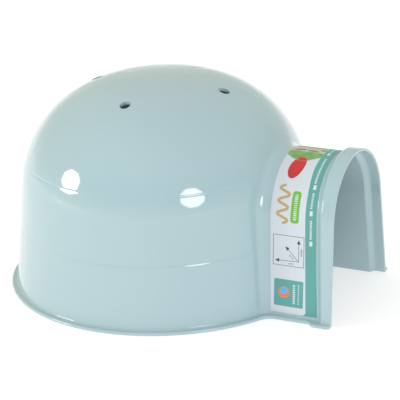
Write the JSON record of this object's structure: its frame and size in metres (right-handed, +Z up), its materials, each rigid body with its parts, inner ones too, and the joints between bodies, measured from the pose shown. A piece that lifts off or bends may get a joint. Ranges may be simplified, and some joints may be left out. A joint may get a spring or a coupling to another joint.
{
  "type": "small pet igloo house",
  "caption": "Moulded plastic igloo house for a small pet: a domed shell with an arched entrance tunnel, open underneath, with a printed wrap label on the tunnel.",
  "frame": {"origin": "on the floor, at the middle of the footprint's bounding box", "axes": "+Z up, +X out of the entrance tunnel, Y across the tunnel"},
  "size_m": [0.2294, 0.2, 0.1292],
  "materials": {
    "shell_plastic": "smooth pale ice-blue moulding, slightly translucent",
    "label_print": "satin coated paper label, white panel with a teal edge strip"
  },
  "bodies": {
    "root": {"igloo_shell": "shell_plastic", "wrap_label": "label_print"}
  },
  "joints": []
}
